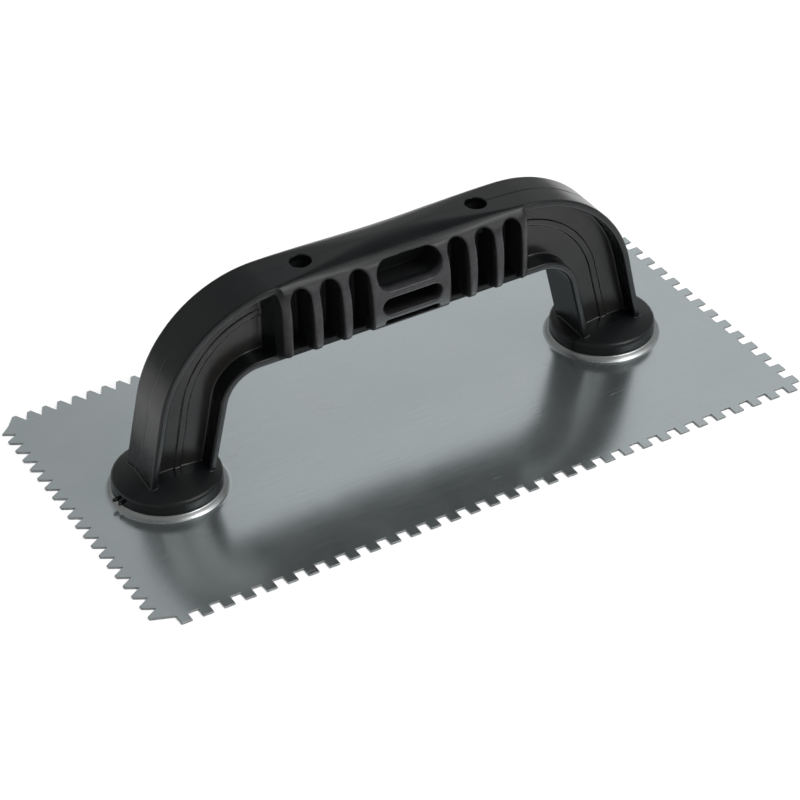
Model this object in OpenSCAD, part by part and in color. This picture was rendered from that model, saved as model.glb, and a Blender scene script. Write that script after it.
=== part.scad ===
// Notched trowel: toothed sheet-steel blade, moulded open grip handle and its two fixing screws.
// Millimetres. +Z is up, +X runs along the blade, -Y is the square-notched long edge.
// Origin: centre of the blade outline, in the plane of its underside.

/* [Blade] */
// Tip-to-tip length of the blade
blade_l = 270.4; // [262:0.1:280]
// Tip-to-tip width of the blade
blade_w = 138; // [134:0.1:146]
// Thickness of the sheet
sheet_t = 0.8; // [0.6:0.1:1.2]

/* [Square notches] */
// Notch depth on the front and right edges
notch_d = 4; // [3:0.1:5]
// Number of teeth on the front edge
front_teeth = 32; // [24:1:32]
// Tooth pitch of the front edge
front_pitch = 8.2; // [7.6:0.1:8.2]
// Number of teeth on the right edge
right_teeth = 16; // [12:1:16]
// Tooth pitch of the right edge
right_pitch = 8.64; // [8:0.02:8.64]
// Tooth width as a share of the pitch
tooth_share = 0.5; // [0.4:0.01:0.6]

/* [V notches] */
// Notch depth on the back edge
back_v_d = 4.6; // [3.5:0.1:5]
// Number of notches on the back edge
back_v_n = 42; // [30:1:42]
// Notch pitch of the back edge
back_v_pitch = 6.12; // [5.6:0.02:6.12]
// Notch depth on the left edge
left_v_d = 4.3; // [3.5:0.1:5]
// Number of notches on the left edge
left_v_n = 19; // [14:1:19]
// Notch pitch of the left edge
left_v_pitch = 6.42; // [5.8:0.02:6.42]
// Width of the flat tip left between two V notches
v_tip = 1.5; // [0.8:0.1:2]

/* [Raised seats] */
// Height of the pressed seat under each foot
seat_h = 2; // [1.6:0.1:3]
// Radius of the flat top of a seat
seat_r = 20.7; // [20.5:0.1:23]
// Width of the sloped rim of a seat, in plan
seat_rim = 2.8; // [1.5:0.1:4]

/* [Handle] */
// Distance between the centres of the two feet
foot_span = 187; // [180:1:190]
// Handle centre measured from the blade centre, along X
handle_dx = -3.3; // [-6:0.1:6]
// Handle centre measured from the blade centre, along Y
handle_dy = 1.5; // [-4:0.1:4]
// Height of the top of the handle above the blade underside
handle_top = 78.3; // [76:0.1:84]
// Height of the underside of the grip above the blade underside
grip_under = 45.6; // [42:0.1:48]
// Width of the outer and inner flanges
band_w = 20; // [16:0.5:24]
// Thickness of the flanges
flange_t = 2.8; // [2:0.1:4]
// Thickness of the web between the flanges
web_t = 4; // [3:0.1:6]
// Lean of the outer side of each leg from the vertical
leg_lean = 12; // [8:0.5:14]
// Radius of the outer shoulder
shoulder_r = 50; // [44:0.5:52]
// Radius of the inner corner under the grip
corner_r = 14; // [10:0.5:16]

/* [Feet] */
// Radius of a foot disc
foot_r = 20.2; // [18:0.1:20.4]
// Height of the side wall of a foot disc
foot_h = 4.6; // [3:0.1:6]
// Rise of the domed top of a foot above its side wall
dome_h = 3; // [2.5:0.1:4]

/* [Grip block] */
// Half length of the finger grip block
block_x = 50; // [48.5:0.5:54]
// Largest half width of the grip block
block_hw = 17.6; // [16:0.1:19]
// Height of the widest line of the grip block
block_z = 57.5; // [55:0.5:60]
// Radius of the bulged side seen along X
bulge_r = 28; // [24:0.5:34]
// Radius of the bulge seen from above
barrel_r = 400; // [300:10:700]
// Radius of the rounded underside seen along X
belly_r = 36; // [32:1:80]

/* [Finger slots] */
// Width of a finger slot
slot_w = 8.2; // [6:0.1:9]
// Distance between neighbouring slots
slot_pitch = 11.6; // [10.5:0.1:12]
// Distance of the first slot from the middle of the handle
slot_x0 = 20.2; // [19:0.1:21]
// Top of the slots above the blade underside
slot_top = 74.4; // [70:0.1:75]

/* [Top holes] */
// Diameter of the two blind holes in the top
top_hole_d = 8; // [5:0.1:9]
// Distance of each hole from the middle of the handle
top_hole_x = 36.2; // [32:0.1:40]
// Depth of the two holes
top_hole_h = 9; // [5:0.5:12]

/* [Screws] */
// Diameter of the screw shank
screw_d = 4; // [3:0.1:4.4]
// Head diameter
head_d = 8.6; // [7:0.1:9.5]
// Head height
head_h = 1.7; // [1.4:0.1:1.9]

/* [Hidden] */
$fn = 96;
eps = 0.01;
// Blade outline
half_l = blade_l / 2;
half_w = blade_w / 2;
front_x0 = half_l - notch_d - front_teeth * front_pitch + front_pitch / 2 + 0.2;
right_y0 = half_w - (right_teeth - 1 + tooth_share) * right_pitch;
back_x0 = -half_l + 7.6 + v_tip;
left_y0 = -half_w + 7.7 + v_tip;
corner_cut = 7.6;
// Levels
seat_top = sheet_t + seat_h;
seat_hole_r = screw_d / 2 + 0.3;
foot_x = foot_span / 2;
// Handle profile in the XZ plane
crown_r = 960;
shoulder_x = 49.8;
crown_a = asin(shoulder_x / (crown_r - shoulder_r));
shoulder_z = handle_top - crown_r + (crown_r - shoulder_r) * cos(crown_a);
frame_z0 = seat_top + 1;
inner_lean = leg_lean + 1;
inner_x = 58.8;
inner_z = grip_under - corner_r;
// Pockets in the middle of the grip block: [half length, lower z, upper z]
mid_pockets = [[13.3, 64, 74.8], [12.2, 54.4, 61.3], [11, 49.8, 52.2]];
// Rib along the middle of the web of each leg
rib_w = 2.7;
rib_h = 0.5;
rib_r = 38.4;
// Wall left around each top hole where it passes between the slots
boss_wall = 1.4;
// Screw
screw_tip = 9;
drive_w = 1.1;
drive_l = 4.6;
drive_h = 1;

// ---- Blade ----------------------------------------------------------------

module v_notch(pitch, depth) {
    polygon([[0, eps], [pitch - v_tip, eps], [(pitch - v_tip) / 2, -depth]]);
}

module square_edge(count, pitch, length) {
    for (i = [0 : count - 1])
        translate([i * pitch, 0])
            square([pitch * tooth_share, length]);
}

module blade_outline() {
    difference() {
        union() {
            translate([-half_l, -half_w + notch_d])
                square([blade_l - notch_d, blade_w - notch_d]);
            translate([front_x0, -half_w])
                square_edge(front_teeth, front_pitch, notch_d + 1);
            translate([half_l, right_y0])
                rotate(90)
                    square_edge(right_teeth, right_pitch, notch_d + 1);
        }
        // V notches along the back and the left edge
        for (i = [0 : back_v_n - 1])
            translate([back_x0 + i * back_v_pitch, half_w])
                v_notch(back_v_pitch, back_v_d);
        for (i = [0 : left_v_n - 1])
            translate([-half_l, left_y0 + i * left_v_pitch])
                rotate(90)
                    v_notch(left_v_pitch, left_v_d);
        // Cut corners at the left end
        polygon([
            [-half_l - 1, half_w + 1],
            [-half_l + corner_cut, half_w + 1],
            [-half_l + corner_cut, half_w],
            [-half_l + corner_cut / 2, half_w - corner_cut / 2 - 1],
            [-half_l, half_w - corner_cut - 0.4],
            [-half_l - 1, half_w - corner_cut - 0.4]
        ]);
        polygon([
            [-half_l - 1, -half_w - 1],
            [front_x0, -half_w - 1],
            [front_x0, -half_w + notch_d + 0.5],
            [-half_l, -half_w + 7.7],
            [-half_l - 1, -half_w + 7.7]
        ]);
    }
}

module blade() {
    color([0.62, 0.65, 0.66])
        difference() {
            union() {
                linear_extrude(sheet_t)
                    blade_outline();
                for (s = [-1, 1])
                    translate([handle_dx + s * foot_x, handle_dy, sheet_t])
                        cylinder(h = seat_h, r1 = seat_r + seat_rim, r2 = seat_r);
            }
            // Hollow under each seat, and the screw hole through it
            for (s = [-1, 1])
                translate([handle_dx + s * foot_x, handle_dy, 0]) {
                    translate([0, 0, -eps])
                        cylinder(h = seat_h + eps, r1 = seat_r + seat_rim - 0.4, r2 = seat_r - 0.4);
                    cylinder(h = 10, r = seat_hole_r);
                }
        }
}

// ---- Handle ---------------------------------------------------------------

// Points of an arc around c from angle a0 to a1, in n steps.
function arc(c, r, a0, a1, n) = [
    for (i = [0 : n])
        let (a = a0 + (a1 - a0) * i / n)
            c + r * [cos(a), sin(a)]
];

// The points followed by their mirror image in the Z axis.
function both_sides(pts) = concat(
    pts,
    [for (i = [len(pts) - 1 : -1 : 0]) [-pts[i][0], pts[i][1]]]
);

// End of the straight that leaves an arc around c at angle a and runs down to height z.
function leg_end(c, r, a, z) =
    let (p = c + r * [cos(a), sin(a)])
        [p[0] + (p[1] - z) * tan(a), z];

// Everything inside the outer side of the handle, drawn in the XZ plane and moved inward by t.
module outer_face(t) {
    c = [shoulder_x, shoulder_z];
    r = shoulder_r - t;
    polygon(both_sides(concat(
        [leg_end(c, r, leg_lean, frame_z0)],
        arc(c, r, leg_lean, 90 - crown_a, 26),
        arc([0, handle_top - crown_r], crown_r - t, 90 - crown_a * 0.8, 90 - crown_a * 0.2, 3)
    )));
}

// The hand opening between the legs, drawn in the XZ plane and grown outward by t.
module opening(t) {
    c = [inner_x, inner_z];
    r = corner_r + t;
    polygon(both_sides(concat(
        [leg_end(c, r, inner_lean, frame_z0 - 1)],
        arc(c, r, inner_lean, 90, 16)
    )));
}

module along_y(width) {
    rotate([90, 0, 0])
        linear_extrude(width, center = true)
            children();
}

module frame_body(width, t = 0) {
    along_y(width)
        difference() {
            outer_face(t);
            opening(t);
        }
}

// Bulged block around the grip, cut to the height of the handle.
module block_body() {
    side = block_hw - bulge_r;
    intersection() {
        frame_body(2 * block_hw + 4);
        translate([-block_x, 0, 0])
            cube([2 * block_x, 60, 200]);
        // bulge seen along X
        translate([0, side, block_z])
            rotate([0, 90, 0])
                cylinder(h = 2 * block_x + 2, r = bulge_r, center = true);
        // bulge seen from above
        translate([0, block_hw - barrel_r, 0])
            cylinder(h = 200, r = barrel_r, $fn = 360);
        // rounded underside
        translate([0, 0, grip_under + belly_r])
            rotate([0, 90, 0])
                cylinder(h = 2 * block_x + 2, r = belly_r, center = true);
    }
}

module stadium(half_len, z0, z1) {
    r = (z1 - z0) / 2;
    translate([-half_len + r, z0])
        square([2 * (half_len - r), 2 * r]);
    for (s = [-1, 1])
        translate([s * (half_len - r), z0 + r])
            circle(r = r);
}

module upright_slot(z0) {
    translate([-slot_w / 2, z0])
        square([slot_w, slot_top - slot_w / 2 - z0]);
    translate([0, slot_top - slot_w / 2])
        circle(d = slot_w);
}

// Pockets cut into one side of the block, down to the web.
module pockets() {
    translate([0, web_t / 2 + 15, 0])
        along_y(30) {
            for (p = mid_pockets)
                stadium(p[0], p[1], p[2]);
            for (s = [-1, 1], i = [0 : 2])
                translate([s * (slot_x0 + i * slot_pitch), 0])
                    upright_slot(grip_under + flange_t);
        }
    // the finger slots run out through the lower edge of the block
    translate([0, band_w / 2 + 15, 0])
        along_y(30)
            for (s = [-1, 1], i = [0 : 2])
                translate([s * (slot_x0 + i * slot_pitch), 0])
                    upright_slot(grip_under - 2);
}

// Round bosses that hold the top holes between the slots.
module hole_bosses() {
    for (s = [-1, 1])
        translate([s * top_hole_x, 0, handle_top - top_hole_h - boss_wall])
            cylinder(h = top_hole_h, r = top_hole_d / 2 + boss_wall);
}

// Hollow side of one leg between the flanges.
module leg_recess() {
    translate([0, web_t / 2 + 15, 0])
        along_y(30)
            difference() {
                outer_face(flange_t);
                opening(flange_t);
                square([2 * block_x, 300], center = true);
                translate([-150, -50])
                    square([300, 50 + seat_top + foot_h - 1]);
            }
}

// Low rib that follows the middle of the leg on the web.
module web_rib() {
    along_y(web_t + 2 * rib_h)
        intersection() {
            difference() {
                outer_face(shoulder_r - rib_r);
                outer_face(shoulder_r - rib_r + rib_w);
            }
            translate([block_x + 1, seat_top + foot_h])
                square([100, 100]);
        }
}

module foot() {
    translate([0, 0, seat_top]) {
        cylinder(h = foot_h, r = foot_r);
        translate([0, 0, foot_h])
            cylinder(h = dome_h, r1 = foot_r - 1, r2 = 8);
    }
}

// Forked stub left where the moulding was cut from its runner.
module runner_stub() {
    for (a = [-4, 4])
        rotate(188 + a)
            translate([foot_r - 1, -0.6, seat_top + 0.6])
                cube([3.4, 1.2, 1.4]);
}

module handle() {
    color([0.12, 0.12, 0.13])
        translate([handle_dx, handle_dy, 0])
            difference() {
                union() {
                    frame_body(band_w);
                    for (s = [0, 1])
                        mirror([0, s, 0])
                            block_body();
                    for (s = [-1, 1])
                        translate([s * foot_x, 0, 0])
                            foot();
                    translate([-foot_x, 0, 0])
                        runner_stub();
                }
                for (s = [0, 1])
                    mirror([0, s, 0]) {
                        difference() {
                            pockets();
                            hole_bosses();
                        }
                        difference() {
                            leg_recess();
                            for (m = [0, 1])
                                mirror([m, 0, 0])
                                    web_rib();
                        }
                    }
                for (s = [-1, 1]) {
                    translate([s * top_hole_x, 0, handle_top - top_hole_h])
                        cylinder(h = top_hole_h + 1, d = top_hole_d);
                    translate([s * foot_x, 0, seat_top - 1])
                        cylinder(h = screw_tip - seat_top + 1.3, d = screw_d);
                }
            }
}

// ---- Screws ---------------------------------------------------------------

module screw() {
    difference() {
        union() {
            translate([0, 0, seat_h - head_h])
                cylinder(h = head_h, r1 = head_d / 2 - 0.7, r2 = head_d / 2);
            translate([0, 0, seat_h - eps])
                cylinder(h = screw_tip - seat_h - 2 + eps, d = screw_d);
            translate([0, 0, screw_tip - 2])
                cylinder(h = 2, r1 = screw_d / 2, r2 = 0.5);
        }
        // cross recess in the head
        for (a = [0, 90])
            rotate(a)
                translate([-drive_l / 2, -drive_w / 2, seat_h - head_h - eps])
                    cube([drive_l, drive_w, drive_h]);
    }
}

module screw_left() {
    color([0.75, 0.76, 0.74])
        translate([handle_dx - foot_x, handle_dy, 0])
            screw();
}

module screw_right() {
    color([0.75, 0.76, 0.74])
        translate([handle_dx + foot_x, handle_dy, 0])
            screw();
}

blade();
handle();
screw_left();
screw_right();
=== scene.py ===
import math

import bpy
import numpy as np
from mathutils import Matrix, Vector
from mathutils.geometry import delaunay_2d_cdt


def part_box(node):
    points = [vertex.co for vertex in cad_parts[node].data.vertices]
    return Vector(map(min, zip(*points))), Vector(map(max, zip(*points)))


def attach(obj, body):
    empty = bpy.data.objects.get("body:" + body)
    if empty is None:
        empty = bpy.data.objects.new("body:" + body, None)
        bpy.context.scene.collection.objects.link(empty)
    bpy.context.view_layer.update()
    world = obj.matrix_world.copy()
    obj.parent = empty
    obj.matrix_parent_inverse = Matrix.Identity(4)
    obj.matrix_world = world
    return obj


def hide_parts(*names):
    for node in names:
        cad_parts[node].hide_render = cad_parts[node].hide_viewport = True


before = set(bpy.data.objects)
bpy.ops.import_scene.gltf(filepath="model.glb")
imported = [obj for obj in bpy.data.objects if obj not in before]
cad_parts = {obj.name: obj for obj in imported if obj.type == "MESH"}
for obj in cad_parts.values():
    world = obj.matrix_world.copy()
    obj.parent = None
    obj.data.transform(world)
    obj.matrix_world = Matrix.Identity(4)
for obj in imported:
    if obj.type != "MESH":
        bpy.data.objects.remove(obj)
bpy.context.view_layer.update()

MM = 0.001
FAR = 1e3   # a distance that stands for no shape at all


def middle(node):
    low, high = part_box(node)
    return (low + high) / 2 / MM


SCREW_L, SCREW_R = middle("screw_left"), middle("screw_right")
CENTRE = (SCREW_L + SCREW_R) / 2  # middle of the handle, in plan
FOOT_X = (SCREW_R.x - SCREW_L.x) / 2  # from the middle of the handle to a foot's centre
HANDLE_LOW, HANDLE_HIGH = (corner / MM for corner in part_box("handle"))
BLADE_LOW, BLADE_HIGH = (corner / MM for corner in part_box("blade"))
SEAT_TOP = HANDLE_LOW.z  # the feet stand on the raised seats
HANDLE_TOP = HANDLE_HIGH.z


# ---- Distance fields ---------------------------------------------------------

def cut(a, b, r=1e-6):
    """Both a and b, with their convex edge rounded to radius r."""
    return np.minimum(-r, np.maximum(a, b)) + np.hypot(np.maximum(r + a, 0), np.maximum(r + b, 0))


def join(a, b, r):
    """a or b, with a fillet of radius r where they meet."""
    return np.maximum(r, np.minimum(a, b)) - np.hypot(np.maximum(r - a, 0), np.maximum(r - b, 0))


def smooth(t):
    t = np.clip(t, 0, 1)
    return t * t * (3 - 2 * t)


def gradient(field, p, step=0.02):
    """Slope of the field at the points p, an array of shape (n, 3)."""
    out = np.empty_like(p)
    for axis in range(3):
        d = np.zeros(3)
        d[axis] = step
        out[:, axis] = (field(*(p + d).T) - field(*(p - d).T)) / (2 * step)
    return out


LEAST_SLOPE = 0.3   # squared slope below which a Newton step gets no longer
INTO_FACE = 0.2     # how far into its face, towards the middle, a corner's normal is read


def settle(field, p, rounds=4, reach=0.3):
    """The points p moved onto the field's zero surface by Newton steps."""
    start = p.copy()
    for _ in range(rounds):
        g = gradient(field, p)
        size = np.maximum((g * g).sum(1), LEAST_SLOPE)
        p = p - g * (field(*p.T) / size)[:, None]
        away = p - start
        far = np.maximum(np.linalg.norm(away, axis=1) / reach, 1.0)
        p = start + away / far[:, None]
    return p


def surface_net(field, xs, ys, zs):
    """Quads of the zero surface of field over a grid with the given lines."""
    value = np.empty((len(xs), len(ys), len(zs)))
    grid_y, grid_z = np.meshgrid(ys, zs, indexing="ij")
    for i, x in enumerate(xs):
        value[i] = field(np.full_like(grid_y, x), grid_y, grid_z)
    inside = value < 0
    lines = (xs, ys, zs)
    shape = np.array(value.shape) - 1
    total = np.zeros((*shape, 3))
    count = np.zeros(shape)
    quads = []
    for axis in range(3):
        low = [slice(None)] * 3
        high = [slice(None)] * 3
        low[axis], high[axis] = slice(None, -1), slice(1, None)
        low, high = tuple(low), tuple(high)
        where = np.argwhere(inside[low] != inside[high])
        other = where.copy()
        other[:, axis] += 1
        a, b = value[tuple(where.T)], value[tuple(other.T)]
        point = np.stack([lines[k][where[:, k]] for k in range(3)], 1)
        step = lines[axis][other[:, axis]] - lines[axis][where[:, axis]]
        point[:, axis] += a / (a - b) * step
        u, v = (axis + 1) % 3, (axis + 2) % 3
        # the four cells round this grid edge
        ring = []
        for du, dv in ((0, 0), (1, 0), (1, 1), (0, 1)):
            cell = where.copy()
            cell[:, u] -= du
            cell[:, v] -= dv
            ring.append(cell)
            np.add.at(total, tuple(cell.T), point)
            np.add.at(count, tuple(cell.T), 1)
        flat = np.stack([np.ravel_multi_index(tuple(c.T), tuple(shape)) for c in ring], 1)
        leaving = a < 0
        quads.append(np.where(leaving[:, None], flat, flat[:, ::-1]))
    used = np.flatnonzero(count.ravel() > 0)
    number = np.full(count.size, -1)
    number[used] = np.arange(len(used))
    verts = total.reshape(-1, 3)[used] / count.ravel()[used][:, None]
    return verts, number[np.concatenate(quads)]


def raw_mesh(name, verts, faces):
    mesh = bpy.data.meshes.new(name)
    mesh.from_pydata(verts.tolist(), [], faces.tolist())
    mesh.validate()
    return mesh


def field_object(name, field, lines, origin, keep):
    """A piece from a distance field: meshed, thinned to the share keep, settled on the field
    again, and given the field's own slopes as its normals."""
    verts, faces = surface_net(field, *lines)
    verts = settle(field, verts)
    obj = bpy.data.objects.new(name, raw_mesh(name, verts, faces))
    bpy.context.collection.objects.link(obj)
    thin = obj.modifiers.new("thin", "DECIMATE")
    thin.ratio = keep
    thin.use_collapse_triangulate = True
    graph = bpy.context.evaluated_depsgraph_get()
    mesh = bpy.data.meshes.new_from_object(obj.evaluated_get(graph))
    obj.modifiers.clear()
    obj.data = mesh
    mesh.name = name
    p = np.empty(len(mesh.vertices) * 3)
    mesh.vertices.foreach_get("co", p)
    p = settle(field, p.reshape(-1, 3), rounds=3, reach=0.12)
    corner = np.empty(len(mesh.loops), int)
    mesh.loops.foreach_get("vertex_index", corner)
    at = p[corner].reshape(-1, 3, 3)
    # each corner's normal is read a little way into its face, so that flats stay flat
    at = at + (at.mean(1, keepdims=True) - at) * INTO_FACE
    g = gradient(field, settle(field, at.reshape(-1, 3), rounds=1, reach=0.1))
    g /= np.maximum(np.linalg.norm(g, axis=1), 1e-6)[:, None]
    place = np.array([origin[0], origin[1], 0.0])
    mesh.vertices.foreach_set("co", ((p + place) * MM).ravel())
    mesh.update()
    mesh.shade_smooth()
    mesh.normals_split_custom_set(g.tolist())
    return obj


def span(low, high, step):
    return np.linspace(low, high, int(math.ceil((high - low) / step)) + 1)


# ---- Handle ------------------------------------------------------------------

BAND_HW = 10.0        # half width of the flanges
FLANGE_T = 2.8
WEB_HT = 2.0          # half thickness of the web
GRIP_UNDER = 45.6     # underside of the grip
LEAN = math.radians(12)          # of the legs' outer faces
INNER_LEAN = math.radians(13)
SHOULDER_R, SHOULDER_X = 50.0, 49.8
CROWN_R = 960.0
CROWN_Z = HANDLE_TOP - CROWN_R
SHOULDER_Z = CROWN_Z + math.sqrt((CROWN_R - SHOULDER_R) ** 2 - SHOULDER_X ** 2)
CORNER_R, CORNER_X = 14.0, 58.8
CORNER_Z = GRIP_UNDER - CORNER_R
FOOT_R, FOOT_WALL, FOOT_RISE = 20.2, 4.6, 3.4
DOME_R = (FOOT_R ** 2 + FOOT_RISE ** 2) / (2 * FOOT_RISE)
BLOCK_X, BLOCK_HW, BLOCK_Z = 50.0, 17.6, 57.5
BULGE_R, BARREL_R, BELLY_R = 28.0, 400.0, 36.0
END_SLANT = 4 / 13    # the end walls of the block lean outward towards the web
SLOT_HW, SLOT_TOP = 4.1, 74.4
SLOT_XS = (20.2, 31.8, 43.4)     # finger slots, either side of the middle
# half length, bottom and top of each long pocket
MID_POCKETS = ((13.3, 64.0, 74.8), (12.2, 54.4, 61.3), (11.0, 49.8, 52.2))
HOLE_R, HOLE_X, HOLE_DEPTH, BOSS_WALL = 4.0, 36.2, 9.0, 1.4   # blind holes in the top
PILOT_R, PILOT_TOP = 2.05, 9.3   # screw holes in the feet
RIB_IN, RIB_HW, RIB_H = 12.95, 1.35, 0.45   # inside the outer profile, half width, height
WEB_TAPER, WEB_TAPER_Z = 0.035, 62.0   # the webs thicken downward from this height
EDGE = 0.8            # rounding of the moulded edges
BLOCK_END_R = 1.9      # rounding of the block's upright end edges
CREST_END = 0.8        # rounding of the top over the block at the block's ends
CREST_MID = 4.4        # and what is added to it in the middle
FILLET, FOOT_FILLET = 0.7, 0.45
POCKET_EDGE, SLOT_EDGE, HOLE_EDGE = 0.7, 0.9, 0.35
POCKET_FLOOR_EDGE, SLOT_FLOOR_EDGE, SLOT_FOOT_EDGE = 0.35, 0.8, 0.4
BULGE_EDGE, BELLY_EDGE = 3.0, 2.0
FOOT_EDGE, SOLE_EDGE = 1.0, 0.25
SLANT_FROM = 2.6       # the end walls are BLOCK_X out this far inside the widest point
WEB_INSET = 0.3        # the web stops this far inside the flanges' outer faces
RIB_INNER, RIB_SLOPE = 0.3, 0.5          # where a rib's side begins, and its width
RIB_FROM, RIB_FADE, TAPER_FADE = 3.0, 2.0, 12.0   # past the block
SEAM_HW, SEAM_DEPTH = 0.3, 0.14
SEAM_FAINT, SEAM_FADE = 0.3, 6.0         # the seam is fainter left of the right hole
BOSS_MID, BOSS_HH = 3.0, 4.4             # middle above the hole's bottom, and half height
STUB_ANGLE = 188       # where on the left foot the stub is, in degrees
PRONGS = ((-4, 3.4), (4, 3.0))           # angle and length of each prong
PRONG_HW, PRONG_HH, PRONG_Z, PRONG_EDGE = 0.58, 0.62, 1.3, 0.3


def outer_side(ax, z):
    """Distance outside the handle's outer profile, for ax = |x|."""
    u, v = ax - SHOULDER_X, z - SHOULDER_Z
    leg = u * math.cos(LEAN) + v * math.sin(LEAN) - SHOULDER_R
    crown = np.hypot(ax, z - CROWN_Z) - CROWN_R
    above_leg = v * math.cos(LEAN) - u * math.sin(LEAN) >= 0
    beyond_crown = ax * (SHOULDER_Z - CROWN_Z) - (z - CROWN_Z) * SHOULDER_X >= 0
    round_part = np.hypot(u, v) - SHOULDER_R
    return np.where(above_leg & beyond_crown, round_part, np.maximum(leg, crown))


def inner_side(ax, z):
    """Distance outside the hand opening, for ax = |x|."""
    u, v = ax - CORNER_X, z - CORNER_Z
    leg = u * math.cos(INNER_LEAN) + v * math.sin(INNER_LEAN) - CORNER_R
    roof = z - GRIP_UNDER
    in_corner = (u >= 0) & (v * math.cos(INNER_LEAN) - u * math.sin(INNER_LEAN) >= 0)
    return np.where(in_corner, np.hypot(u, v) - CORNER_R, np.maximum(leg, roof))


def stadium(ax, z, half, z0, z1):
    r = (z1 - z0) / 2
    return np.hypot(np.maximum(ax - (half - r), 0), z - z0 - r) - r


def pockets(ax, ay, z):
    """The long pockets and the finger slots in the sides of the grip block."""
    shape = np.full_like(ax, FAR)
    for half, z0, z1 in MID_POCKETS:
        shape = np.minimum(shape, stadium(ax, z, half, z0, z1))
    long_pockets = cut(shape, WEB_HT - ay, POCKET_FLOOR_EDGE)
    slots = np.full_like(ax, FAR)
    for x0 in SLOT_XS:
        slot = np.hypot(ax - x0, np.maximum(z - (SLOT_TOP - SLOT_HW), 0)) - SLOT_HW
        deep = cut(slot, GRIP_UNDER + FLANGE_T - z, SLOT_FOOT_EDGE)
        deep = cut(deep, WEB_HT - ay, SLOT_FLOOR_EDGE)
        slots = np.minimum(slots, np.minimum(deep, cut(slot, BAND_HW - ay)))
    return long_pockets, slots


def block_side(ax, ay, z):
    """Distance outside the bulged sides of the grip block."""
    return cut(
        np.hypot(ay + BULGE_R - BLOCK_HW, z - BLOCK_Z) - BULGE_R,
        np.hypot(ax, ay + BARREL_R - BLOCK_HW) - BARREL_R,
        BULGE_EDGE,
    )


def grip_block(ax, ay, z, d_out):
    side = block_side(ax, ay, z)
    belly = np.hypot(ay, z - GRIP_UNDER - BELLY_R) - BELLY_R
    slant = ax - BLOCK_X - END_SLANT * (BLOCK_HW - SLANT_FROM - ay)
    end = slant / math.hypot(1, END_SLANT)
    body = cut(cut(side, belly, BELLY_EDGE), end, BLOCK_END_R)
    body = np.maximum(body, d_out + 0.1)
    long_pockets, slots = pockets(ax, ay, z)
    return cut(cut(body, -long_pockets, POCKET_EDGE), -slots, SLOT_EDGE)


def foot(x, y, z):
    """One foot disc around the given centre, with its domed top."""
    r = np.hypot(x, y)
    wall = cut(r - FOOT_R, SEAT_TOP - z, SOLE_EDGE)
    dome_z = SEAT_TOP + FOOT_WALL + FOOT_RISE - DOME_R
    return cut(wall, np.hypot(r, z - dome_z) - DOME_R, FOOT_EDGE)


def runner_stub(x, y, z):
    """Forked stub where the moulding was cut from its runner, pointing along +X from a foot."""
    out = np.full_like(x, FAR)
    for angle, length in PRONGS:
        c, s = math.cos(math.radians(angle)), math.sin(math.radians(angle))
        along = x * c + y * s - FOOT_R + 1
        across = y * c - x * s + 0.12 * np.sin(along * 2.1)
        end = along - length + 0.5 * np.abs(across)
        prong = cut(np.abs(across) - PRONG_HW, end, PRONG_EDGE)
        height = np.abs(z - SEAT_TOP - PRONG_Z + 0.03 * along) - PRONG_HH
        prong = cut(prong, height, PRONG_EDGE)
        out = np.minimum(out, cut(prong, -along - 0.5, 0.2))
    return out


def handle_field(x, y, z):
    ax, ay = np.abs(x), np.abs(y)
    d_out, d_in = outer_side(ax, z), inner_side(ax, z)
    strength = SEAM_FAINT + (1 - SEAM_FAINT) * smooth((x - HOLE_X) / SEAM_FADE)
    seam = SEAM_DEPTH * np.maximum(1 - ay / SEAM_HW, 0) * strength
    # web with its low rib, then the two flanges
    lift = RIB_H * (1 - smooth((np.abs(d_out + RIB_IN) - RIB_HW + RIB_INNER) / RIB_SLOPE))
    past_block = ax - BLOCK_X - RIB_FROM
    lift = lift * smooth(past_block / RIB_FADE)
    thicker = WEB_TAPER * np.maximum(WEB_TAPER_Z - z, 0) * smooth(past_block / TAPER_FADE)
    body = np.maximum(np.maximum(d_out, -d_in) + WEB_INSET, ay - WEB_HT - lift - thicker)
    half = FLANGE_T / 2
    outer = cut(np.abs(d_out + seam + half) - half, ay - BAND_HW, EDGE)
    inner = cut(np.abs(d_in - half) - half, ay - BAND_HW, EDGE)
    body = join(join(body, outer, FILLET), inner, FILLET)
    body = join(body, grip_block(ax, ay, z, d_out), FILLET)
    body = np.maximum(body, SEAT_TOP + 1 - z)
    body = np.maximum(body, np.maximum(d_out + seam, -d_in))
    # over the block, the top rounds off into the sides, most of all in the middle
    crest = CREST_END + CREST_MID * (1 - smooth(ax / BLOCK_X))
    crest = cut(d_out, block_side(ax, ay, z), crest)
    body = np.maximum(body, np.where(ax < BLOCK_X + 1, crest, -1.0))
    body = join(body, foot(ax - FOOT_X, y, z), FOOT_FILLET)
    hole, bottom = np.hypot(ax - HOLE_X, y) - HOLE_R, HANDLE_TOP - HOLE_DEPTH
    boss = cut(hole - BOSS_WALL, np.abs(z - bottom - BOSS_MID) - BOSS_HH)
    body = cut(np.minimum(body, boss), -cut(hole, bottom - z), HOLE_EDGE)
    pilot = np.maximum(np.hypot(ax - FOOT_X, y) - PILOT_R, z - PILOT_TOP)
    return np.maximum(body, -pilot)


def handle_lines():
    """Grid lines: even along X and Z, and closer in Y near the seam and the rib."""
    step = 0.5
    half_y = np.concatenate([
        [0.06, 0.16, 0.3, 0.6, 1.0, 1.4],
        np.arange(1.73, FOOT_R + 1, step * 0.92),
    ])
    ys = np.concatenate([-half_y[::-1], half_y])
    return (
        span(HANDLE_LOW.x - CENTRE.x - 1.07, HANDLE_HIGH.x - CENTRE.x + 1.07, step),
        ys,
        span(SEAT_TOP - 0.83, HANDLE_TOP + 0.77, step),
    )


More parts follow.
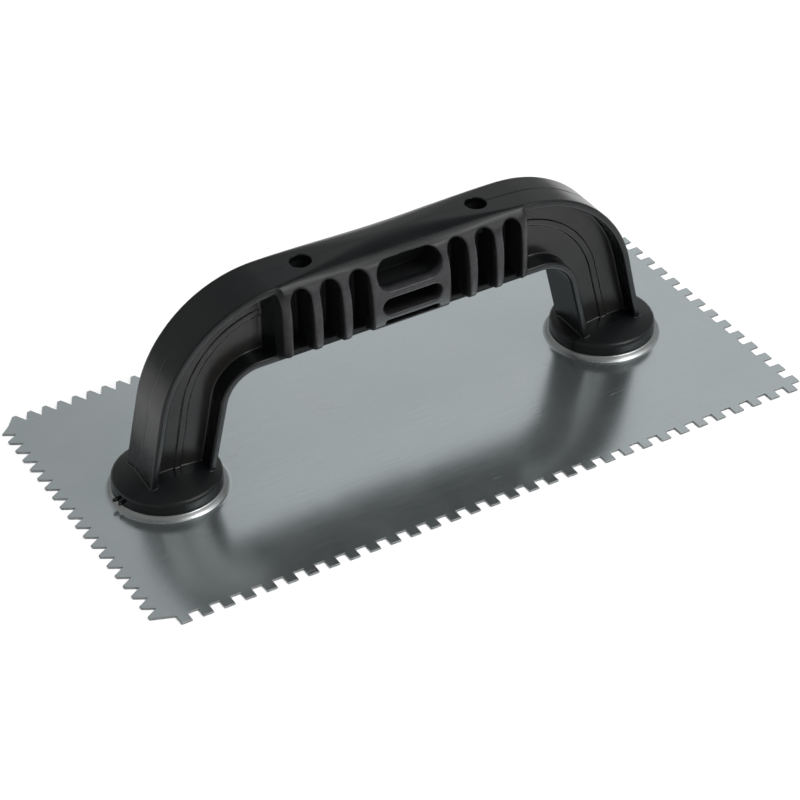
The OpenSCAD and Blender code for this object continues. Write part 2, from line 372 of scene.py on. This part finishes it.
def stub_field(x, y, z):
    """The stub turned to its place on the left foot."""
    turn = math.radians(STUB_ANGLE)
    return runner_stub(
        x * math.cos(turn) + y * math.sin(turn), y * math.cos(turn) - x * math.sin(turn), z
    )


def stub_lines():
    step = 0.16
    return (
        span(-FOOT_R - 3.0, -FOOT_R + 2.6, step),
        span(-7.0, 2.0, step),
        span(SEAT_TOP + 0.33, SEAT_TOP + 2.3, step),
    )


handle = field_object("grip_handle", handle_field, handle_lines(), CENTRE, 0.4)
stub = field_object("runner_stub", stub_field, stub_lines(), SCREW_L, 0.6)


# ---- Screws ------------------------------------------------------------------

SHANK_R, HEAD_R, HEAD_H = 2.0, 4.3, 1.7
SCREW_TIP = 9.0
HEAD_TOP = SEAT_TOP - 0.8   # the head bears on the underside of the seat
THREAD_PITCH, THREAD_H = 1.4, 0.4
CROSS_HW, CROSS_HL, CROSS_DEPTH, CROSS_TAPER = 0.55, 2.4, 1.0, 0.28
POINT_R, POINT_SLOPE = 0.3, 0.55   # the screw's blunt point and how it widens
HEAD_DOME_R, HEAD_EDGE, FINE_EDGE = 9.0, 0.5, 0.12
THREAD_EASE = 0.8            # keeps the twisted thread's field no steeper than a distance
SCREW_STEP = 0.17


def screw_field(x, y, z):
    r = np.hypot(x, y)
    turn = (z / THREAD_PITCH - np.arctan2(y, x) / (2 * math.pi)) % 1.0
    thread = SHANK_R - THREAD_H * np.abs(2 * turn - 1)
    tip = (SCREW_TIP - z) * POINT_SLOPE + POINT_R
    shank = cut((r - np.minimum(thread, tip)) * THREAD_EASE, z - SCREW_TIP + 0.05)
    shank = cut(shank, HEAD_TOP - 0.5 - z)
    bottom = HEAD_TOP - HEAD_H
    crown = np.hypot(r, z - bottom - HEAD_DOME_R) - HEAD_DOME_R
    head = cut(cut(r - HEAD_R, crown, HEAD_EDGE), z - HEAD_TOP, FINE_EDGE)
    body = np.minimum(head, shank)
    deep = z - bottom - CROSS_DEPTH
    taper = CROSS_TAPER * (z - bottom)
    for a, b in ((np.abs(x), np.abs(y)), (np.abs(y), np.abs(x))):
        arm = cut(cut(a - CROSS_HL + taper, b - CROSS_HW + 0.3 * taper), deep)
        body = cut(body, -arm, FINE_EDGE)
    return body


def screw_lines():
    r = span(-HEAD_R - 0.53, HEAD_R + 0.51, SCREW_STEP)
    return r, r + 0.013, span(HEAD_TOP - HEAD_H - 0.37, SCREW_TIP + 0.31, SCREW_STEP)


screws = [
    field_object(name, screw_field, screw_lines(), at, 0.4)
    for name, at in (("pan_screw_left", SCREW_L), ("pan_screw_right", SCREW_R))
]


# ---- Blade -------------------------------------------------------------------

SHEET_T = 0.8
NOTCH_D = 4.0               # depth of the square notches
FRONT_N, FRONT_PITCH, RIGHT_N, RIGHT_PITCH = 32, 8.2, 16, 8.64
TOOTH_SHARE = 0.5           # share of the pitch that is tooth
BACK_N, BACK_PITCH, BACK_D = 42, 6.12, 4.6
LEFT_N, LEFT_PITCH, LEFT_D = 19, 6.42, 4.3
V_TIP = 1.5                 # flat tip between two V notches
BACK_START, LEFT_START = 7.6, 7.7   # plain corner before the first tooth of each V row
NICK_X, NICK_Y, CORNER_Y = 3.8, 4.8, 8.0   # the half notch in the back left corner
SEAT_H, SEAT_R, SEAT_RIM = 2.0, 20.6, 2.5
SEAT_FLARE, SEAT_BRIM = 2.4, 0.3   # power of the flare's curve, and rounding at its top
SEAT_SHIFT = 0.4            # the hollow's rim lies this far inside the seat's own
SEAT_HOLE_R = SHANK_R + 0.3
RING_R = SEAT_R + SEAT_RIM + 1.6   # where the sheet's flat gives way to a seat's rings
RING_N = 128
SPARE_STEP = 6.0            # spacing of the spare points in the flat of the sheet
CREASE = math.radians(28)
FLARE_RINGS, FLAT_RINGS = 28, 7
ARRIS = 0.13                # broken edge of the sheet


def blade_outline():
    """The toothed outline, anticlockwise from the left end of the front edge."""
    x0, y0 = BLADE_LOW.x, BLADE_LOW.y
    x1, y1 = BLADE_HIGH.x, BLADE_HIGH.y
    first = x1 - NOTCH_D - FRONT_N * FRONT_PITCH + FRONT_PITCH / 2 + 0.2
    tooth = FRONT_PITCH * TOOTH_SHARE
    pts = [(first, y0 + NOTCH_D + 0.5)]
    for i in range(FRONT_N):
        a = first + i * FRONT_PITCH
        b = a + tooth
        pts += [(a, y0), (b, y0)]
        if i < FRONT_N - 1:
            pts += [(b, y0 + NOTCH_D), (a + FRONT_PITCH, y0 + NOTCH_D)]
    tooth = RIGHT_PITCH * TOOTH_SHARE
    foot_y = y1 - (RIGHT_N - 1 + TOOTH_SHARE) * RIGHT_PITCH
    base = x1 - NOTCH_D
    pts.append((first + (FRONT_N - 1) * FRONT_PITCH + FRONT_PITCH * TOOTH_SHARE, foot_y))
    for i in range(RIGHT_N):
        a = foot_y + i * RIGHT_PITCH
        b = a + tooth
        pts += [(x1, a), (x1, b)]
        if i < RIGHT_N - 1:
            pts += [(base, b), (base, a + RIGHT_PITCH)]
    start = x0 + BACK_START + V_TIP
    for i in reversed(range(BACK_N)):
        a = start + i * BACK_PITCH
        b = a + BACK_PITCH - V_TIP
        pts += [(b, y1), ((a + b) / 2, y1 - BACK_D), (a, y1)]
    pts += [(x0 + BACK_START, y1), (x0 + NICK_X, y1 - NICK_Y), (x0, y1 - CORNER_Y)]
    start = y0 + LEFT_START + V_TIP
    for i in reversed(range(LEFT_N)):
        a = start + i * LEFT_PITCH
        b = a + LEFT_PITCH - V_TIP
        pts += [(x0, b), (x0 + LEFT_D, (a + b) / 2), (x0, a)]
    pts.append((x0, y0 + LEFT_START))
    return np.array(pts)


def moved_in(pts, distance):
    """The closed outline moved inward, with mitred corners."""
    edge = np.roll(pts, -1, 0) - pts
    edge /= np.linalg.norm(edge, axis=1)[:, None]
    normal = np.stack([-edge[:, 1], edge[:, 0]], 1)
    before = np.roll(normal, 1, 0)
    both = 1 + (normal * before).sum(1)
    return pts + distance * (normal + before) / both[:, None]


def seat_rise(r, shift):
    """Height of a seat above the sheet at radius r: a flare that steepens up to a rounded brim."""
    flare = np.maximum((SEAT_R + SEAT_RIM - shift - r) / SEAT_RIM, 0) ** SEAT_FLARE
    t = (1 - flare) / SEAT_BRIM + 0.5
    return SEAT_H * (1 - SEAT_BRIM * np.where(t < 0, 0, np.where(t < 1, t * t / 2, t - 0.5)))


def blade_object():
    edge = blade_outline()
    n = len(edge)
    inset = moved_in(edge, ARRIS)
    centres = [(SCREW_L.x, SCREW_L.y), (SCREW_R.x, SCREW_R.y)]
    turn = np.arange(RING_N) * 2 * math.pi / RING_N
    circle = np.stack([np.cos(turn), np.sin(turn)], 1)
    rings = [np.array(c) + RING_R * circle for c in centres]
    # the flat of the sheet, triangulated with spare points so that no triangle is long
    gx, gy = np.meshgrid(
        np.arange(BLADE_LOW.x + 8, BLADE_HIGH.x - 6, SPARE_STEP),
        np.arange(BLADE_LOW.y + 8, BLADE_HIGH.y - 6, SPARE_STEP),
    )
    spare = np.stack([gx.ravel(), gy.ravel()], 1)
    for c in centres:
        spare = spare[np.hypot(*(spare - np.array(c)).T) > RING_R + 2]
    flat = np.concatenate([inset, *rings, spare])
    loops = [(0, n)] + [(n + k * RING_N, RING_N) for k in range(2)]
    limits = [(s + i, s + (i + 1) % m) for s, m in loops for i in range(m)]
    out = delaunay_2d_cdt([Vector(p) for p in flat.tolist()], limits, [], 1, 1e-6)
    points, triangles = np.array([tuple(v) for v in out[0]]), np.array(out[2])
    back = {}
    for new, olds in enumerate(out[3]):
        for old in olds:
            back[old] = new
    mid = points[triangles].mean(1)
    keep = np.ones(len(triangles), bool)
    for c in centres:
        keep &= np.hypot(*(mid - np.array(c)).T) > RING_R * math.cos(math.pi / RING_N) - 0.01
    triangles = triangles[keep]
    a, b, c = (points[triangles[:, k]] for k in range(3))
    turned = np.cross(b - a, c - a) < 0
    triangles[turned] = triangles[turned][:, ::-1]

    verts = [np.column_stack([points, np.full(len(points), SHEET_T)])]
    verts.append(np.column_stack([points, np.zeros(len(points))]))
    m = len(points)
    faces = [tuple(t) for t in triangles] + [tuple(t[::-1] + m) for t in triangles]
    walls = [np.column_stack([edge, np.full(n, z)]) for z in (SHEET_T - ARRIS, ARRIS)]
    verts += walls
    top_in = [back[i] for i in range(n)]
    low_in = [back[i] + m for i in range(n)]
    top_out = list(range(2 * m, 2 * m + n))
    low_out = list(range(2 * m + n, 2 * m + 2 * n))
    sheared = range(len(faces), len(faces) + 3 * n)
    for upper, lower in ((top_in, top_out), (top_out, low_out), (low_out, low_in)):
        for i in range(n):
            j = (i + 1) % n
            faces.append((upper[i], lower[i], lower[j], upper[j]))
    total = 2 * m + 2 * n
    # pressed seats: rings of points from the sheet to the screw hole, above and below
    radii = np.concatenate([
        np.linspace(RING_R - 0.5, SEAT_R - 1.2, FLARE_RINGS),
        np.linspace(SEAT_R - 3, SEAT_HOLE_R + 0.1, FLAT_RINGS),
        [SEAT_HOLE_R],
    ])
    for k, c in enumerate(centres):
        start = n + k * RING_N
        for shift, base, sign in ((0.0, SHEET_T, 1), (SEAT_SHIFT, 0.0, -1)):
            ring = [back[start + i] + (0 if sign > 0 else m) for i in range(RING_N)]
            for r in radii:
                z = base + float(seat_rise(np.array(r), shift))
                verts.append(np.column_stack([
                    np.array(c) + r * circle, np.full(RING_N, z),
                ]))
                inner_ring = list(range(total, total + RING_N))
                total += RING_N
                for i in range(RING_N):
                    j = (i + 1) % RING_N
                    quad = (ring[i], ring[j], inner_ring[j], inner_ring[i])
                    faces.append(quad if sign > 0 else quad[::-1])
                ring = inner_ring
            if sign > 0:
                upper_hole = ring
        for i in range(RING_N):
            j = (i + 1) % RING_N
            faces.append((upper_hole[i], upper_hole[j], ring[j], ring[i]))
    mesh = bpy.data.meshes.new("toothed_blade")
    mesh.from_pydata((np.concatenate(verts) * MM).tolist(), [], faces)
    for i in sheared:
        mesh.polygons[i].material_index = 1
    mesh.shade_smooth()
    mesh.set_sharp_from_angle(angle=CREASE)
    obj = bpy.data.objects.new("toothed_blade", mesh)
    bpy.context.collection.objects.link(obj)
    return obj


blade = blade_object()


# ---- Materials ---------------------------------------------------------------

class Nodes:
    """Short calls for building one material's node tree."""

    def __init__(self, name):
        self.material = bpy.data.materials.new(name)
        self.material.use_nodes = True
        self.tree = self.material.node_tree
        self.shader = self.tree.nodes["Principled BSDF"]
        self.coords = self.add("ShaderNodeTexCoord")
        self.place = self.coords.outputs["Object"]

    def add(self, kind, **values):
        node = self.tree.nodes.new(kind)
        for key, value in values.items():
            setattr(node, key, value)
        return node

    def put(self, socket, value):
        if isinstance(value, bpy.types.NodeSocket):
            self.tree.links.new(value, socket)
        else:
            socket.default_value = value

    def stretched(self, scale):
        node = self.add("ShaderNodeMapping")
        self.put(node.inputs["Vector"], self.place)
        node.inputs["Scale"].default_value = scale
        return node.outputs["Vector"]

    def noise(self, scale, detail=3.0, rough=0.5, vector=None):
        node = self.add("ShaderNodeTexNoise")
        self.put(node.inputs["Vector"], vector or self.place)
        node.inputs["Scale"].default_value = scale
        node.inputs["Detail"].default_value = detail
        node.inputs["Roughness"].default_value = rough
        return node.outputs["Fac"]

    def spread(self, value, low, high, to_low, to_high):
        node = self.add("ShaderNodeMapRange")
        for key, v in zip(("Value", "From Min", "From Max", "To Min", "To Max"),
                          (value, low, high, to_low, to_high)):
            self.put(node.inputs[key], v)
        return node.outputs["Result"]

    def maths(self, operation, a, b=0.5):
        node = self.add("ShaderNodeMath", operation=operation)
        self.put(node.inputs[0], a)
        self.put(node.inputs[1], b)
        return node.outputs[0]

    def mix(self, share, a, b):
        node = self.add("ShaderNodeMix", data_type="RGBA")
        self.put(node.inputs["Factor"], share)
        self.put(node.inputs["A"], a)
        self.put(node.inputs["B"], b)
        return node.outputs["Result"]

    def bump(self, height, strength, distance, under=None):
        node = self.add("ShaderNodeBump")
        self.put(node.inputs["Height"], height)
        node.inputs["Strength"].default_value = strength
        node.inputs["Distance"].default_value = distance
        if under is not None:
            self.put(node.inputs["Normal"], under)
        return node.outputs["Normal"]

    def finish(self, **values):
        for key, value in values.items():
            self.put(self.shader.inputs[key.replace("_", " ")], value)
        return self.material


def scratches(n, turn, scale, width):
    """Thin long lines in one main direction: the level line of a stretched noise."""
    node = n.add("ShaderNodeMapping")
    n.put(node.inputs["Vector"], n.place)
    node.inputs["Rotation"].default_value = (0, 0, math.radians(turn))
    node.inputs["Scale"].default_value = (0.3, 9.0, 1.0)
    lines = n.noise(scale, 1.0, 0.4, node.outputs["Vector"])
    off = n.maths("ABSOLUTE", n.maths("SUBTRACT", lines, 0.5))
    thin = n.spread(off, 0.0, width, 1.0, 0.0)
    # only here and there along each line
    broken = n.spread(n.noise(34.0, 2.0, 0.6), 0.60, 0.66, 0.0, 1.0)
    return n.maths("MULTIPLY", thin, broken)


def seat_flare_ring(n, at):
    """The ring at the flare of the seat around at, where shade is painted: 1 there, 0 elsewhere."""
    away = n.add("ShaderNodeVectorMath", operation="DISTANCE")
    n.put(away.inputs[0], n.stretched((1, 1, 0)))
    away.inputs[1].default_value = (at.x * MM, at.y * MM, 0)
    off = n.maths("ABSOLUTE", n.maths("SUBTRACT", away.outputs["Value"], (SEAT_R + 0.4) * MM))
    return n.spread(off, 0.6 * MM, 1.6 * MM, 1.0, 0.0)


def steel_material():
    n = Nodes("blade_steel")
    cloudy = n.noise(28.0, 4.0, 0.55)
    fine = n.noise(2100.0, 2.0, 0.6)
    brushed = n.noise(160.0, 3.0, 0.6, n.stretched((0.35, 6.0, 1.0)))
    tone = n.maths("ADD", n.spread(cloudy, 0.3, 0.7, 0.0, 0.6), n.spread(fine, 0.3, 0.7, 0.0, 0.4))
    colour = n.mix(tone, (0.575, 0.643, 0.656, 1), (0.655, 0.712, 0.725, 1))
    marks = n.maths("MAXIMUM", scratches(n, 22, 42.0, 0.0035), scratches(n, -12, 30.0, 0.0025))
    colour = n.mix(n.maths("MULTIPLY", marks, 0.55), colour, (0.92, 0.92, 0.90, 1))
    rough = n.maths("ADD", n.spread(cloudy, 0.3, 0.7, 0.17, 0.21),
                    n.spread(brushed, 0.3, 0.7, -0.015, 0.025))
    rough = n.maths("ADD", rough, n.maths("MULTIPLY", marks, 0.3))
    # painted shade: the flare ring round each seat is darkened in colour, to dim the lamps'
    # highlight where the foot meets the sheet; it is also made rougher
    flare_shade_and_rough = n.maths("MAXIMUM", seat_flare_ring(n, SCREW_L), seat_flare_ring(n, SCREW_R))
    colour = n.mix(n.maths("MULTIPLY", flare_shade_and_rough, 0.8), colour, (0.27, 0.265, 0.26, 1))
    rough = n.maths("ADD", rough, n.maths("MULTIPLY", flare_shade_and_rough, 0.16))
    normal = n.bump(brushed, 0.08, 0.00004)
    normal = n.bump(fine, 0.22, 0.00003, normal)
    return n.finish(Base_Color=colour, Metallic=0.95, Roughness=rough, Normal=normal)


def sheared_material():
    """The punched edge of the sheet: darker, with fine upright tear lines."""
    n = Nodes("blade_sheared_edge")
    tear = n.noise(1500.0, 2.0, 0.6, n.stretched((1.0, 1.0, 0.12)))
    colour = n.mix(n.spread(tear, 0.3, 0.7, 0.0, 1.0), (0.15, 0.16, 0.16, 1), (0.30, 0.31, 0.31, 1))
    rough = n.spread(tear, 0.3, 0.7, 0.42, 0.6)
    return n.finish(Base_Color=colour, Metallic=0.9, Roughness=rough,
                    Normal=n.bump(tear, 0.3, 0.00005))


WEB_MASK = 8.5        # nearer the middle than this, the handle's sides are web
PLASTIC_SPECULAR = 0.32


def plastic_material():
    """Black moulding: satin, glossier on the webs, matt in the pockets, with painted light on the
    leg webs and on the grip's sides.
    """
    n = Nodes("handle_plastic")
    cloudy = n.noise(45.0, 4.0, 0.6)
    grain = n.noise(2600.0, 2.0, 0.5)
    colour = n.mix(n.spread(cloudy, 0.3, 0.7, 0.0, 1.0),
                   (0.0028, 0.0034, 0.0040, 1), (0.0044, 0.0048, 0.0050, 1))
    split = n.add("ShaderNodeSeparateXYZ")
    n.put(split.inputs[0], n.place)
    depth = n.maths("ABSOLUTE", n.maths("SUBTRACT", split.outputs["Y"], CENTRE.y * MM))
    along = n.maths("ABSOLUTE", n.maths("SUBTRACT", split.outputs["X"], CENTRE.x * MM))
    in_block = n.spread(along, (BLOCK_X + 0.5) * MM, (BLOCK_X + 2.0) * MM, 1.0, 0.0)
    below_top = n.spread(split.outputs["Z"], 75.0 * MM, 75.5 * MM, 1.0, 0.0)
    deep = n.spread(depth, WEB_MASK * MM, 12.0 * MM, 1.0, 0.0)
    inside = n.maths("MULTIPLY", n.maths("MULTIPLY", in_block, below_top), deep)
    web = n.spread(depth, WEB_MASK * MM, (WEB_MASK + 0.7) * MM, 1.0, 0.0)
    facing = n.add("ShaderNodeSeparateXYZ")
    n.put(facing.inputs[0], n.coords.outputs["Normal"])
    sideways = n.spread(n.maths("ABSOLUTE", facing.outputs["Y"]), 0.6, 0.8, 0.0, 1.0)
    on_leg = n.spread(along, BLOCK_X * MM, (BLOCK_X + 5.0) * MM, 0.0, 1.0)
    painted_web_sheen = n.maths("MULTIPLY", n.maths("MULTIPLY", web, sideways), on_leg)
    satin = n.spread(cloudy, 0.3, 0.7, 0.30, 0.40)
    rough = n.maths("SUBTRACT", satin, n.maths("MULTIPLY", web, 0.12))
    rough = n.maths("ADD", rough, n.maths("MULTIPLY", inside, 0.5))
    # painted light: the sides of the grip are lightened to grey, most of all towards the top, where
    # the lamps light their upward curve
    painted_grip_light = n.maths("MULTIPLY", in_block, n.spread(depth, 11.5 * MM, 15.0 * MM, 0.0, 1.0))
    painted_grip_light = n.maths("MULTIPLY", painted_grip_light, n.spread(split.outputs["Z"], 50.0 * MM, 72.0 * MM, 0.35, 1.0))
    painted_grip_light = n.maths("MULTIPLY", painted_grip_light, n.spread(n.noise(420.0, 4.0, 0.65), 0.35, 0.65, 0.55, 1.0))
    colour = n.mix(painted_grip_light, colour, (0.050, 0.047, 0.051, 1))
    # painted reflection: the sideways faces of the leg webs are lightened, standing in for the
    # light they mirror
    colour = n.mix(n.maths("MULTIPLY", painted_web_sheen, n.spread(cloudy, 0.35, 0.65, 0.6, 1.0)), colour,
                   (0.019, 0.0175, 0.0165, 1))
    normal = n.bump(grain, 0.22, 0.00005)
    normal = n.bump(n.noise(120.0, 2.0, 0.5), 0.05, 0.0004, normal)
    n.shader.inputs["Specular IOR Level"].default_value = PLASTIC_SPECULAR
    return n.finish(Base_Color=colour, Roughness=rough, Normal=normal)


def screw_material():
    n = Nodes("screw_steel")
    cloudy = n.noise(300.0, 3.0, 0.5)
    colour = n.mix(n.spread(cloudy, 0.3, 0.7, 0.0, 1.0),
                   (0.60, 0.60, 0.57, 1), (0.70, 0.70, 0.68, 1))
    rough = n.spread(n.noise(900.0), 0.3, 0.7, 0.24, 0.36)
    normal = n.bump(n.noise(2200.0), 0.15, 0.00003)
    return n.finish(Base_Color=colour, Metallic=1.0, Roughness=rough, Normal=normal)


def dress(obj, material, node):
    obj.data.materials.append(material)
    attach(obj, "root")
    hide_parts(node)


dress(blade, steel_material(), "blade")
blade.data.materials.append(sheared_material())
black_plastic = plastic_material()
dress(handle, black_plastic, "handle")
dress(stub, black_plastic, "handle")
screw_steel = screw_material()
dress(screws[0], screw_steel, "screw_left")
dress(screws[1], screw_steel, "screw_right")


# ---- Floor, light and camera -------------------------------------------------

def floor_object():
    half, drop = 3.0, 0.00005
    mesh = bpy.data.meshes.new("floor")
    mesh.from_pydata(
        [(-half, -half, -drop), (half, -half, -drop), (half, half, -drop), (-half, half, -drop)],
        [], [(0, 1, 2, 3)],
    )
    obj = bpy.data.objects.new("floor", mesh)
    bpy.context.collection.objects.link(obj)
    n = Nodes("floor_paper")
    tone = n.spread(n.noise(3.0, 2.0), 0.3, 0.7, 0.0, 1.0)
    paper = n.mix(tone, (0.87, 0.87, 0.87, 1), (0.89, 0.89, 0.89, 1))
    mesh.materials.append(n.finish(Base_Color=paper, Roughness=0.9))


def area_light(name, at, towards, size, watts):
    data = bpy.data.lights.new(name, "AREA")
    data.shape = "RECTANGLE"
    data.size, data.size_y = size
    data.energy = watts
    obj = bpy.data.objects.new(name, data)
    bpy.context.collection.objects.link(obj)
    obj.location = at
    obj.rotation_mode = "QUATERNION"
    obj.rotation_quaternion = (Vector(towards) - Vector(at)).to_track_quat("-Z", "Y")
    return obj


CAMERA_PLACE = (-0.42506, -0.73766, 0.62507)
CAMERA_LENS = 127.38


def camera():
    """The photograph's viewpoint: 30 degrees left of the front and 36 degrees up."""
    right = Vector((0.86193685, -0.50684368, -0.01320417))
    forward = Vector((0.40248371, 0.69983614, -0.59011544))
    up = right.cross(forward).normalized()
    data = bpy.data.cameras.new("camera")
    data.sensor_width = 36.0
    data.lens = CAMERA_LENS
    data.clip_start, data.clip_end = 0.05, 20.0
    obj = bpy.data.objects.new("camera", data)
    bpy.context.collection.objects.link(obj)
    turn = Matrix((right, up, -forward)).transposed()
    obj.matrix_world = Matrix.Translation(CAMERA_PLACE) @ turn.to_4x4()
    bpy.context.scene.camera = obj


floor_object()
# behind, to the right: the plate mirrors it and gets lighter to the right
area_light("back_box", (2.0, 2.1, 1.6), (1.2, 0, 0.2), (2.1, 1.5), 1.9)
# in front: along the sides of the grip, on its upper slopes, and on its crest
area_light("front_box", (1.12, -1.3, 1.2), (0, 0, 0), (2.2, 0.7), 4.5)
area_light("key", (0.66, -0.92, 1.25), (0, 0, 0.03), (0.7, 0.5), 9.0)
area_light("crest_box", (0.66, -0.4, 1.5), (0, 0, 0.05), (0.9, 0.5), 4.5)
# overhead: keeps the floor white, and no surface mirrors it
paper_light = area_light("paper_light", (0, 0, 2.2), (0, 0, 0), (1.6, 1.6), 38)
paper_light.visible_glossy = False


def studio_world():
    """Grey surroundings that get darker overhead."""
    world = bpy.data.worlds.new("studio")
    world.use_nodes = True
    nodes, links = world.node_tree.nodes, world.node_tree.links
    place = nodes.new("ShaderNodeTexCoord")
    split = nodes.new("ShaderNodeSeparateXYZ")
    ramp = nodes.new("ShaderNodeValToRGB")
    links.new(place.outputs["Generated"], split.inputs[0])
    links.new(split.outputs["Z"], ramp.inputs["Fac"])
    ramp.color_ramp.elements[0].position = 0.60
    ramp.color_ramp.elements[0].color = (0.37, 0.375, 0.375, 1)
    ramp.color_ramp.elements[1].position = 0.85
    ramp.color_ramp.elements[1].color = (0.15, 0.15, 0.155, 1)
    links.new(ramp.outputs["Color"], nodes["Background"].inputs["Color"])
    bpy.context.scene.world = world


studio_world()
bpy.context.scene.view_settings.view_transform = "Standard"
camera()


# ---- Scene update ------------------------------------------------------------

bpy.context.view_layer.update()
